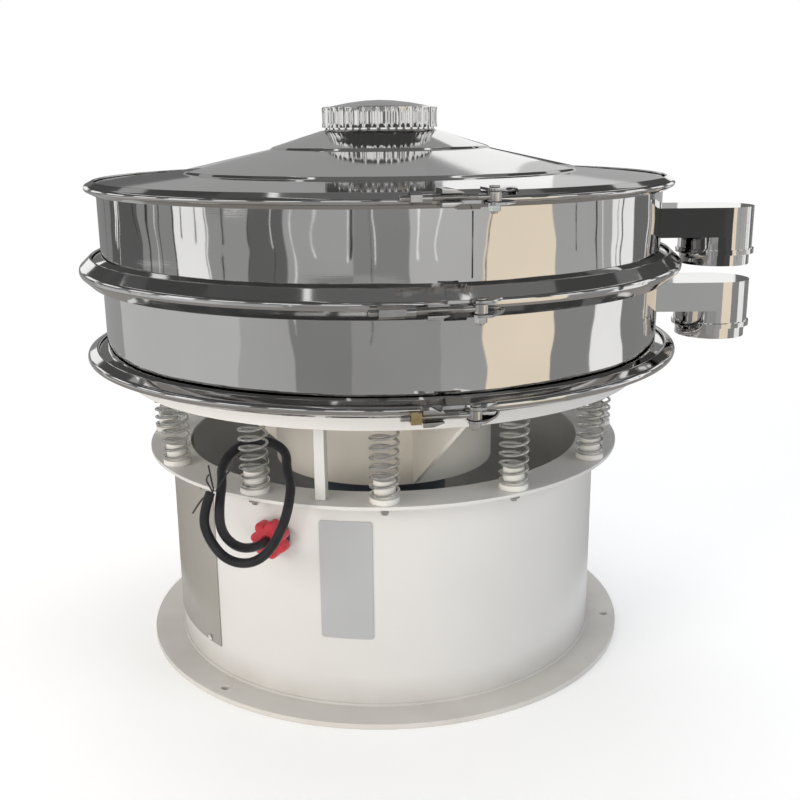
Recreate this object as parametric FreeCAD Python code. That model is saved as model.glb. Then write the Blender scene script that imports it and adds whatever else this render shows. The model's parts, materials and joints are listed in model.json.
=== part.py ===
import FreeCAD, Part

import math
import os

from FreeCAD import Vector

os.makedirs("parts", exist_ok=True)

# Rotary vibrating sieve, single screen, two frames. Millimetres, +Z up.
# The origin is on the floor, on the axis of the barrel. The outlets point along +X and the
# three ring clamps face -Y. Azimuths are in degrees from -Y towards +X.

UP = Vector(0, 0, 1)
ZERO = Vector(0, 0, 0)

# ---- driving dimensions: base ----------------------------------------
BARREL_R = 318.0
BARREL_WALL = 3.0
BASE_H = 300.0
FOOT_OVER = 45.0
FOOT_R = BARREL_R + FOOT_OVER
FOOT_T = 8.0
FOOT_INNER_R = BARREL_R - BARREL_WALL
FOOT_HOLE_OUT = 27.0
FOOT_BOLT_PCR = BARREL_R + FOOT_HOLE_OUT
FOOT_HOLE_R = 6.0
FOOT_HOLES = 3
FOOT_HOLE_AZ = -40.0
BASE_TOP_OVER = 33.0
BASE_TOP_R = BARREL_R + BASE_TOP_OVER
BASE_TOP_IN = 25.0
BASE_TOP_INNER_R = BARREL_R - BASE_TOP_IN
BASE_TOP_T = 5.0

COVER_AZ = (-106.0, -46.5)
COVER_LOW = 46.0
COVER_DOWN = 16.0
COVER_Z = (COVER_LOW, BASE_H - COVER_DOWN)
COVER_T = 2.0
COVER_LAP = 10.0
SCREW_R = 4.5
SCREW_STAND = 2.5
SCREW_IN_AZ = 4.5
SCREW_IN_Z = 6.0

WINDOW_LAP_AZ = 3.0

# ---- driving dimensions: cable gland and supply cable ----------------------------------------
GLAND_AZ = -26.0
GLAND_DOWN = 59.0
GLAND_Z = BASE_H - GLAND_DOWN
GLAND_BODY_R = 13.0
GLAND_BASE_R = 19.0
GLAND_BASE_GAP = 1.0
GLAND_NUT_R = 26.0
GLAND_NUT_T = 20.0
GLAND_LOBES = 7
GLAND_LOBE_R = 7.5
GLAND_STAND = 7.0
GLAND_TAIL = 12.0
GLAND_LIP = 3.0
CABLE_R = 6.0
# where the loose cable lies: out from the barrel, azimuth, up from the gland
CABLE_ROUTE = [
    (GLAND_STAND + GLAND_NUT_T, GLAND_AZ, 0), (51.4, -26.0, 0), (76.5, -27.8, 8), (91.7, -29.4, 33),
    (86.1, -30.0, 65), (62.4, -31.9, 84), (39.1, -35.4, 94), (13.2, -36.3, 108), (-11.8, -33.9, 117),
    (-23.0, -29.0, 116), (-10.9, -23.8, 109), (18.9, -21.2, 98), (40.6, -18.5, 86), (60.8, -18.1, 60),
    (70.7, -18.8, 39), (80.2, -20.9, 9), (89.8, -24.2, -5), (95.4, -28.3, -1), (97.5, -31.3, 22),
    (97.5, -32.6, 50), (90.3, -31.3, 80)]

# ---- driving dimensions: springs ----------------------------------------
SPRINGS = 12
SPRING_OUT = 13.0
SPRING_PCR = BARREL_R + SPRING_OUT
SPRING_OD = 39.0
SPRING_WIRE = 3.6
SPRING_TURNS = 8.5
SPRING_L = 117.0
COIL_SIDES = 8
SEAT_IN = 0.5
SEAT_R = SPRING_OD / 2 - SEAT_IN
SEAT_T = 8.0
BOSS_PLAY = 1.9
BOSS_R = SPRING_OD / 2 - SPRING_WIRE - BOSS_PLAY
BOSS_H = 22.0
UPPER_SEAT_T = 12.0
UPPER_BOSS_H = 12.0
SEAT_NUT_AF = 16.0
SEAT_NUT_H = 8.0
SEAT_STUD_R = 5.0
SEAT_STUD_END = 4.0
BOUNCE = 6.0

# ---- driving dimensions: vibrating table and motor ----------------------------------------
TABLE_T = 5.5
SKIRT_OUT = 45.0
SKIRT_R = SPRING_PCR + SKIRT_OUT
SKIRT_WALL = 4.0
SKIRT_H = 32.5
DRUM_R = 165.0
DRUM_WALL = 5.0
DRUM_H = 174.5
GUSSETS = 3
GUSSET_AZ = 15.0
GUSSET_T = 6.0
GUSSET_STEP = 3.0
POST_AZ = -14.0
POST_OUT = 8.0
POST_PCR = BARREL_R + POST_OUT
POST_SIDE = 14.0
POST_GAP = BOUNCE + 2.0

MOTOR_R = 95.0
MOTOR_PLAY = 2.0
MOTOR_FLANGE_IN = 25.0
MOTOR_FLANGE_R = DRUM_R - MOTOR_FLANGE_IN
MOTOR_FLANGE_T = 12.0
MOTOR_UP = 110.0
MOTOR_DOWN = 120.0
SHAFT_R = 16.0
SHAFT_FIT = 0.05
WEIGHT_R = 88.0
WEIGHT_T = 30.0
WEIGHT_GAP = 8.0
WEIGHT_HUB_R = 29.0
SHAFT_OVER = 4.0
LOWER_WEIGHT_AZ = 60.0

# ---- driving dimensions: frames and ring joints ----------------------------------------
FRAME_OUT = 24.0
FRAME_R = SKIRT_R + FRAME_OUT
FRAME_WALL = 2.0
LOWER_FRAME_H = 109.0
SCREEN_H = 20.0
UPPER_FRAME_H = 100.5
RING_T = 2.5
LOW_RIM_UP = 3.6
LOW_EDGE_OUT = 21.0
LOW_NOSE_OUT = 28.0
LOW_LIP_OUT = 15.0
MID_RIM_T = 2.0
MID_EDGE_OUT = 18.0
MID_NOSE_OUT = 30.5
MID_LIP_OUT = 15.0
TOP_RIM_T = 3.5
LID_RIM_T = 5.5
TOP_EDGE_OUT = 7.5
TOP_NOSE_OUT = 16.0
TOP_LIP_OUT = 4.0
LOW_SLOPE, MID_SLOPE, TOP_SLOPE = 0.45, 0.90, 0.50
LOW_AZ, MID_AZ, TOP_AZ = 10.0, 10.6, 13.1
RING_GAP = 10.0
BRIDGE_T = 2.0
FLARE = 0.5
SCREEN_RIM = 14.0
MESH_T = 0.6
PAN_RISE = 34.0
PAN_EDGE_UP = 41.5
PAN_T = 2.0

# ---- driving dimensions: outlets ----------------------------------------
OUTLET_R = 53.0
OUTLET_OUT = 95.0
OUTLET_REACH = FRAME_R + OUTLET_OUT
OUTLET_WALL = 2.0
DUCT_H = 42.0
DROP = 26.0
UPPER_DUCT_UP = 19.5
PIPE_IN = 3.0
PIPE_R = OUTLET_R - PIPE_IN
PIPE_L = 16.0
BEAD_OVER = 3.0
BEAD_R = OUTLET_R + BEAD_OVER
BEAD_H = 7.0
COLLAR_T = 2.5
COLLAR_LAP = 9.0

# ---- driving dimensions: lid and inlet ----------------------------------------
LID_T = 2.0
LID_RIM_UP = 7.5
INLET_R = 78.0
NECK_H = 24.0
OUTER_SLOPE_W = 117.0
OUTER_STEP_R = FRAME_R - OUTER_SLOPE_W
OUTER_STEP_UP = 17.0
INNER_SLOPE_W = 80.0
INNER_STEP_R = INLET_R + INNER_SLOPE_W
INNER_STEP_UP = 47.0
STEP_W = 4.5
STEP_H = 3.5
NECK_UP = 72.0
NECK_FLAT = 5.0
# radius and height over the joint: inside of the rim, two steps and the flat foot of the neck
LID_LEVELS = ((FRAME_R - FRAME_WALL, LID_RIM_UP), (OUTER_STEP_R, OUTER_STEP_UP),
              (OUTER_STEP_R - STEP_W, OUTER_STEP_UP + STEP_H), (INNER_STEP_R, INNER_STEP_UP),
              (INNER_STEP_R - STEP_W, INNER_STEP_UP + STEP_H), (INLET_R + NECK_FLAT, NECK_UP),
              (INLET_R, NECK_UP))
CAP_OVER = 4.5
CAP_R = INLET_R + CAP_OVER
CAP_H = 28.0
CAP_DOME = 10.0
CAP_T = 2.0
CAP_UP = 4.0
CAP_ROUND = 3.5
CAP_FIT = 0.4

# ---- driving dimensions: clamps ----------------------------------------
BOLT_R = 4.0
PIN_R = 4.0
PIN_FIT = 0.05
PIN_X = 27.5
PIN_TO_FACE = 61.5
SADDLE_L = 25.0
SADDLE_END = 12.0
SADDLE_W = 20.0
SADDLE_TAPER_W = 12.0
SADDLE_REACH = 9.0
SLOT_FIT = 0.6
BRIDGE_PLAY = 0.3
EYE_R = 8.0
EYE_T = 12.0
EYE_REST = 1.0
FORK_T = 3.0
FORK_PLAY = 0.4
FORK_L = 36.0
SADDLE_ROOT = 8.0
FORK_ROOT = 14.0
HEAD_T = 2.5
PIN_END = 9.0
PIN_NUT_H = 6.5
NUT_AF = 13.0
THREAD_OUT = 11.0
SLEEVE_L = 11.0
TOP_RISE = 4.0
TOP_NUT_L = 13.0
TOP_BACKOFF = 10.0
MID_RISE = -3.5
MID_NUT_L = 30.0
MID_BACKOFF = 12.0
LOW_RISE = -4.0
LOW_NUT_L = 12.5
LOW_BACKOFF = 1.0

# ---- levels ----------------------------------------
SPRING_Z = BASE_H + SEAT_T
TABLE_Z = SPRING_Z + SPRING_L + UPPER_SEAT_T
LOWER_Z = TABLE_Z + TABLE_T
SCREEN_Z = LOWER_Z + LOWER_FRAME_H
UPPER_Z = SCREEN_Z + SCREEN_H
LID_Z = UPPER_Z + UPPER_FRAME_H
DRUM_Z = TABLE_Z - DRUM_H


class RingJoint:
    """Where a V-ring holds two flange rims: rims reach down and up from the joint. The radii of
    the rims' edge, the ring's nose and its lips are given from the frames' outside."""

    def __init__(self, z, down, up, edge_out, nose_out, lip_out, slope, az):
        self.z = z
        self.low = z - down
        self.high = z + up
        self.mid = (self.low + self.high) / 2
        self.edge_r = FRAME_R + edge_out
        self.nose_r = FRAME_R + nose_out
        self.lip_r = FRAME_R + lip_out
        self.slope = slope
        self.az = az


LOW_JOINT = RingJoint(LOWER_Z, TABLE_T, LOW_RIM_UP, LOW_EDGE_OUT, LOW_NOSE_OUT, LOW_LIP_OUT,
                      LOW_SLOPE, LOW_AZ)
MID_JOINT = RingJoint(SCREEN_Z, MID_RIM_T, SCREEN_H + MID_RIM_T, MID_EDGE_OUT, MID_NOSE_OUT, MID_LIP_OUT,
                      MID_SLOPE, MID_AZ)
TOP_JOINT = RingJoint(LID_Z, TOP_RIM_T, LID_RIM_T, TOP_EDGE_OUT, TOP_NOSE_OUT, TOP_LIP_OUT,
                      TOP_SLOPE, TOP_AZ)


# ---- helpers ----------------------------------------
def polar(radius, azimuth, z=0.0):
    a = math.radians(azimuth)
    return Vector(radius * math.sin(a), -radius * math.cos(a), z)


def face_of(points):
    return Part.Face(Part.makePolygon(points + points[:1]))


def revolve(profile):
    """Turn a closed outline of (radius, height) points about the Z axis."""
    return face_of([Vector(r, 0, z) for r, z in profile]).revolve(ZERO, UP, 360)


def tube(outer, inner, z0, z1):
    return revolve([(inner, z0), (outer, z0), (outer, z1), (inner, z1)])


def block(x, y, z):
    """A box from three (low, high) pairs."""
    size = [high - low for low, high in (x, y, z)]
    return Part.makeBox(size[0], size[1], size[2], Vector(x[0], y[0], z[0]))


def turned(shape, azimuth):
    """A shape drawn on the -Y side, turned to an azimuth."""
    copy = shape.copy()
    copy.rotate(ZERO, UP, azimuth)
    return copy


def around(shape, count, azimuth=0.0):
    step = 360.0 / count
    return [turned(shape, azimuth + i * step) for i in range(count)]


def sector(azimuths, z, r_in, r_out):
    """A curved block of the barrel wall between two azimuths."""
    low, high = azimuths
    profile = face_of([Vector(0, -r, h) for r, h in
                       ((r_in, z[0]), (r_out, z[0]), (r_out, z[1]), (r_in, z[1]))])
    return turned(profile.revolve(ZERO, UP, high - low), low)


def stood_out(shape, z, azimuth):
    """A shape drawn along +Z, laid level at a height and pointing out from the axis."""
    copy = shape.copy()
    copy.rotate(ZERO, Vector(1, 0, 0), 90)
    copy.translate(Vector(0, 0, z))
    return turned(copy, azimuth)


def hexagon(across_flats, z0, z1):
    corner = across_flats / math.sqrt(3)
    points = [Vector(corner * math.cos(math.radians(60 * i)),
                     corner * math.sin(math.radians(60 * i)), z0) for i in range(6)]
    return face_of(points).extrude(Vector(0, 0, z1 - z0))


def save(name, shape):
    solids = shape if isinstance(shape, list) else [shape]
    solids = [s for item in solids for s in item.Solids]
    for solid in solids:
        if not solid.isValid() or solid.Volume <= 0:
            raise ValueError("bad solid in " + name)
    Part.makeCompound(solids).exportStep("parts/" + name + ".step")


# ---- base: barrel, flanges, access cover ----------------------------------------
def foot_flange():
    ring = tube(FOOT_R, FOOT_INNER_R, 0, FOOT_T)
    hole = Part.makeCylinder(FOOT_HOLE_R, FOOT_T, Vector(0, -FOOT_BOLT_PCR, 0))
    return ring.cut(around(hole, FOOT_HOLES, FOOT_HOLE_AZ))


def barrel_shell():
    shell = tube(BARREL_R, FOOT_INNER_R, FOOT_T, BASE_H - BASE_TOP_T)
    window_az = (COVER_AZ[0] + WINDOW_LAP_AZ, COVER_AZ[1] - WINDOW_LAP_AZ)
    window_z = (COVER_Z[0] + COVER_LAP, COVER_Z[1] - COVER_LAP)
    window = sector(window_az, window_z, FOOT_INNER_R - 5, BARREL_R + 5)
    return shell.cut([window, gland_bore(GLAND_BODY_R)])


def base_top_flange():
    return tube(BASE_TOP_R, BASE_TOP_INNER_R, BASE_H - BASE_TOP_T, BASE_H)


def access_cover():
    return sector(COVER_AZ, COVER_Z, BARREL_R, BARREL_R + COVER_T)


def cover_screws():
    """A round head at each corner of the access cover."""
    screws = []
    for azimuth in (COVER_AZ[0] + SCREW_IN_AZ, COVER_AZ[1] - SCREW_IN_AZ):
        for z in (COVER_Z[0] + SCREW_IN_Z, COVER_Z[1] - SCREW_IN_Z):
            head = Part.makeCylinder(SCREW_R, SCREW_STAND, Vector(0, 0, BARREL_R + COVER_T))
            screws.append(stood_out(head, z, azimuth))
    return screws


def seat_nut():
    """The nut and stud end that hold a spring seat, under the barrel's top flange."""
    face = BASE_H - BASE_TOP_T
    nut = hexagon(SEAT_NUT_AF, face - SEAT_NUT_H, face)
    stud = Part.makeCylinder(SEAT_STUD_R, SEAT_NUT_H + SEAT_STUD_END, Vector(0, 0, face), -UP)
    pair = nut.fuse(stud)
    pair.translate(Vector(0, -SPRING_PCR, 0))
    return pair


# ---- cable gland ----------------------------------------
GLAND_FACE = BARREL_R + GLAND_STAND
GLAND_TIP = GLAND_FACE + GLAND_NUT_T


def on_gland_axis(shape):
    return stood_out(shape, GLAND_Z, GLAND_AZ)


def gland_bore(radius):
    start = FOOT_INNER_R - 2 * GLAND_TAIL
    return on_gland_axis(Part.makeCylinder(radius, GLAND_TIP - start + 1, Vector(0, 0, start)))


def gland_body():
    """A threaded tube through the wall, with a round shoulder outside it."""
    seat = BARREL_R + GLAND_BASE_GAP
    tail = FOOT_INNER_R - GLAND_TAIL
    stem = Part.makeCylinder(GLAND_BODY_R, GLAND_TIP - GLAND_LIP - tail, Vector(0, 0, tail))
    shoulder = Part.makeCylinder(GLAND_BASE_R, GLAND_FACE - seat, Vector(0, 0, seat))
    return on_gland_axis(stem.fuse(shoulder)).cut(gland_bore(CABLE_R))


def gland_nut():
    """The lobed nut that squeezes the seal on to the cable."""
    core = Part.makeCylinder(GLAND_NUT_R - GLAND_LOBE_R + 1, GLAND_NUT_T, Vector(0, 0, GLAND_FACE))
    lobe = Part.makeCylinder(GLAND_LOBE_R, GLAND_NUT_T,
                             Vector(GLAND_NUT_R - GLAND_LOBE_R, 0, GLAND_FACE))
    step = 360.0 / GLAND_LOBES
    lobes = []
    for i in range(GLAND_LOBES):
        copy = lobe.copy()
        copy.rotate(ZERO, UP, i * step)
        lobes.append(copy)
    star = on_gland_axis(core.multiFuse(lobes))
    return star.cut([gland_body(), gland_bore(CABLE_R)])


# ---- springs and their seats ----------------------------------------
def coil_spring():
    """A square wire wound in straight stretches, COIL_SIDES to the turn, ends cut across."""
    half = SPRING_WIRE / 2
    mean = SPRING_OD / 2 - half
    steps = int(SPRING_TURNS * COIL_SIDES)
    rise = (SPRING_L - SPRING_WIRE) / steps
    sections = []
    for i in range(steps + 1):
        a = 2 * math.pi * i / COIL_SIDES
        z = SPRING_Z + half + i * rise
        corners = ((mean - half, -half), (mean + half, -half), (mean + half, half), (mean - half, half))
        sections.append([Vector(r * math.cos(a), r * math.sin(a) - SPRING_PCR, z + h) for r, h in corners])
    faces = [face_of(sections[0]), face_of(sections[-1])]
    for low, high in zip(sections, sections[1:]):
        for j in range(4):
            k = (j + 1) % 4
            faces.append(face_of([low[j], low[k], high[k]]))
            faces.append(face_of([low[j], high[k], high[j]]))
    solid = Part.Solid(Part.Shell(faces))
    if solid.Volume < 0:
        solid.reverse()
    return solid


def spring_seat(z, thickness, boss, side):
    """A round pad with a boss that fills the end of the spring. side is 1 up or -1 down."""
    pad = Part.makeCylinder(SEAT_R, thickness, Vector(0, -SPRING_PCR, z), Vector(0, 0, side))
    plug = Part.makeCylinder(BOSS_R, thickness + boss, Vector(0, -SPRING_PCR, z), Vector(0, 0, side))
    return pad.fuse(plug)


# ---- vibrating table ----------------------------------------
def table():
    """A round plate with a skirt below it, which the lower V-ring holds by its rim."""
    inner = SKIRT_R - SKIRT_WALL
    low = TABLE_Z - SKIRT_H
    return revolve([(0, TABLE_Z), (inner, TABLE_Z), (inner, low), (SKIRT_R, low), (SKIRT_R, TABLE_Z),
                    (LOW_JOINT.edge_r, TABLE_Z), (LOW_JOINT.edge_r, LOWER_Z), (0, LOWER_Z)])


def motor_drum():
    """The tube under the table that carries the motor by a flange at its lower end."""
    inner = DRUM_R - DRUM_WALL
    lip = MOTOR_R + MOTOR_PLAY
    return revolve([(lip, DRUM_Z), (DRUM_R, DRUM_Z), (DRUM_R, TABLE_Z), (inner, TABLE_Z),
                    (inner, DRUM_Z + DRUM_WALL), (lip, DRUM_Z + DRUM_WALL)])


def gusset():
    """A tapered plate between the drum and the skirt, cut to the round of both."""
    reach = SKIRT_R - SKIRT_WALL
    outline = [(DRUM_R - GUSSET_T, DRUM_Z + GUSSET_STEP), (DRUM_R + GUSSET_T, DRUM_Z + GUSSET_STEP),
               (reach + GUSSET_T, TABLE_Z - SKIRT_H + GUSSET_STEP), (reach + GUSSET_T, TABLE_Z),
               (DRUM_R - GUSSET_T, TABLE_Z)]
    points = [Vector(-GUSSET_T / 2, -r, z) for r, z in outline]
    plate = face_of(points).extrude(Vector(GUSSET_T, 0, 0))
    drum = Part.makeCylinder(DRUM_R, DRUM_H, Vector(0, 0, DRUM_Z))
    outside = tube(SKIRT_R + 20, reach, DRUM_Z, TABLE_Z)
    return plate.cut([drum, outside])


def limit_post():
    top = TABLE_Z - POST_GAP
    half = POST_SIDE / 2
    return block((-half, half), (-POST_PCR - half, -POST_PCR + half), (BASE_H, top))


# ---- motor ----------------------------------------
MOTOR_Z0 = DRUM_Z - MOTOR_FLANGE_T - MOTOR_DOWN
MOTOR_Z1 = DRUM_Z + MOTOR_UP


def motor_housing():
    body = revolve([(SHAFT_R + SHAFT_FIT, MOTOR_Z0), (MOTOR_R, MOTOR_Z0),
                    (MOTOR_R, DRUM_Z - MOTOR_FLANGE_T), (MOTOR_FLANGE_R, DRUM_Z - MOTOR_FLANGE_T),
                    (MOTOR_FLANGE_R, DRUM_Z), (MOTOR_R, DRUM_Z), (MOTOR_R, MOTOR_Z1),
                    (SHAFT_R + SHAFT_FIT, MOTOR_Z1)])
    return body


def rotor_shaft():
    reach = WEIGHT_GAP + WEIGHT_T + SHAFT_OVER
    return Part.makeCylinder(SHAFT_R, MOTOR_Z1 - MOTOR_Z0 + 2 * reach, Vector(0, 0, MOTOR_Z0 - reach))


def eccentric_weight(z, azimuth):
    """A thick half disc clamped on the shaft by a round hub."""
    half_disc = Part.makeCylinder(WEIGHT_R, WEIGHT_T, Vector(0, 0, z), UP, 180)
    hub = Part.makeCylinder(WEIGHT_HUB_R, WEIGHT_T, Vector(0, 0, z))
    bore = Part.makeCylinder(SHAFT_R, WEIGHT_T, Vector(0, 0, z))
    return turned(half_disc.fuse(hub).cut(bore), azimuth)


# ---- frames, screen and V-rings ----------------------------------------
def flared_edge(joint, above):
    """The flange rim of a frame at a joint, as outline points from the wall outwards or back."""
    rise = (joint.edge_r - FRAME_R) * joint.slope * FLARE
    if above:
        return [(joint.edge_r, joint.high), (FRAME_R, joint.high + rise)]
    return [(FRAME_R, joint.low - rise), (joint.edge_r, joint.low)]


def frame(z0, z1, below, above):
    """A rolled sheet ring with a flared rim at each end."""
    inner = FRAME_R - FRAME_WALL
    return revolve([(inner, z0), (below.edge_r, z0)] + flared_edge(below, True)
                   + flared_edge(above, False) + [(above.edge_r, z1), (inner, z1)])


def v_outline(joint, depth):
    """The V of a joint as (radius, height over its middle), depth out from where it grips."""
    grip = (joint.high - joint.low) / 2 + depth * math.sqrt(1 + joint.slope ** 2)
    nose_r = joint.nose_r - RING_T + depth
    lip = grip + (joint.edge_r - joint.lip_r) * joint.slope
    tip = lip - (nose_r - joint.lip_r) * joint.slope
    return [(joint.lip_r, -lip), (nose_r, -tip), (nose_r, tip), (joint.lip_r, lip)]


def v_shell(joint, depth, thickness):
    points = v_outline(joint, depth + thickness) + v_outline(joint, depth)[::-1]
    return revolve([(r, joint.mid + h) for r, h in points])


def at_clamp(joint, x):
    """The space on the clamp's side of a ring between two distances along it."""
    reach = 2 * joint.nose_r
    return turned(block(x, (-reach, 0), (joint.low - reach, joint.high + reach)), joint.az)


def v_ring(joint):
    """A split sheet ring of V section that draws the two rims of a joint together."""
    half = RING_GAP / 2
    return v_shell(joint, 0, RING_T).cut(at_clamp(joint, (-half, half)))


def discharge_pan():
    """The shallow cone on which the sifted product slides out to the lower outlet."""
    edge = FRAME_R - FRAME_WALL
    z = LOWER_Z + PAN_EDGE_UP
    return revolve([(0, z + PAN_RISE - PAN_T), (edge, z - PAN_T), (edge, z), (0, z + PAN_RISE)])


def screen_ring():
    return tube(MID_JOINT.edge_r - 1.0, FRAME_R - SCREEN_RIM, SCREEN_Z, UPPER_Z - MESH_T)


def screen_mesh():
    return Part.makeCylinder(MID_JOINT.edge_r - 3.0, MESH_T, Vector(0, 0, UPPER_Z - MESH_T))


# ---- outlets ----------------------------------------
def outlet_outer(z, grow):
    """The outside of an outlet, or with a negative grow its inside: z is the duct's underside."""
    r = OUTLET_R + grow
    duct = block((FRAME_R / 2, OUTLET_REACH), (-r, r), (z - grow, z + DUCT_H + grow))
    end = Part.makeCylinder(r, DUCT_H + DROP + 2 * grow, Vector(OUTLET_REACH, 0, z - DROP - grow))
    return duct.fuse(end)


def outlet(z):
    """A duct that leaves the frame, ends in a round drum and drops through a short pipe."""
    bottom = z - DROP
    bead = Part.makeCylinder(BEAD_R, BEAD_H, Vector(OUTLET_REACH, 0, bottom))
    pipe = Part.makeCylinder(PIPE_R, PIPE_L, Vector(OUTLET_REACH, 0, bottom - PIPE_L))
    inside = outlet_outer(z, -OUTLET_WALL)
    bore = Part.makeCylinder(PIPE_R - OUTLET_WALL, PIPE_L + BEAD_H + 2,
                             Vector(OUTLET_REACH, 0, bottom - PIPE_L - 1))
    frame_space = Part.makeCylinder(FRAME_R, 4 * DUCT_H, Vector(0, 0, z - DUCT_H))
    return outlet_outer(z, 0).multiFuse([bead, pipe, collar(z)]).cut([inside, bore, frame_space])


def collar(z):
    """The curved plate round the duct where it is welded to the frame."""
    band = tube(FRAME_R + COLLAR_T, FRAME_R - 1, z - COLLAR_LAP, z + DUCT_H + COLLAR_LAP)
    side = OUTLET_R + COLLAR_LAP
    return band.common(block((0, OUTLET_REACH), (-side, side), (z - DUCT_H, z + 3 * DUCT_H)))


def outlet_opening(z):
    """What the duct takes out of the frame's wall."""
    side = OUTLET_R - OUTLET_WALL
    return block((FRAME_R / 2, OUTLET_REACH), (-side, side), (z + OUTLET_WALL, z + DUCT_H - OUTLET_WALL))


LOWER_OUTLET_Z = LOWER_Z + PAN_EDGE_UP
UPPER_OUTLET_Z = UPPER_Z + UPPER_DUCT_UP


# ---- lid and inlet cap ----------------------------------------
NECK_Z = LID_Z + NECK_UP
NECK_TOP = NECK_Z + NECK_H
CAP_Z = NECK_Z + CAP_UP


def lid_rim():
    """The wedge-shaped rim that the lid's sheet is welded into."""
    inner = FRAME_R - FRAME_WALL
    return revolve([(inner, LID_Z), (TOP_JOINT.edge_r, LID_Z), (TOP_JOINT.edge_r, TOP_JOINT.high),
                    (inner, LID_Z + LID_RIM_UP)])


def lid():
    """A cone of sheet in three slopes with a step between them."""
    inside = [(INLET_R, NECK_UP - LID_T)]
    for r, h in LID_LEVELS[5:0:-1]:
        inside.append((r - LID_T, h - LID_T))
    inside.append((FRAME_R - FRAME_WALL, LID_RIM_UP - LID_T))
    return revolve([(r, LID_Z + h) for r, h in list(LID_LEVELS) + inside])


def inlet_neck():
    return tube(INLET_R, INLET_R - LID_T, NECK_Z - LID_T, NECK_TOP)


def inlet_cap():
    """A shallow pressed cover that drops over the neck of the inlet."""
    inside = INLET_R + CAP_FIT
    rim = CAP_Z + CAP_H
    crown = rim + CAP_DOME
    return revolve([(inside, CAP_Z), (CAP_R, CAP_Z), (CAP_R, rim - CAP_ROUND), (CAP_R - CAP_ROUND, rim),
                    (0, crown), (0, crown - 2 * CAP_T), (inside - CAP_ROUND, NECK_TOP), (inside, NECK_TOP)])


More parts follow.
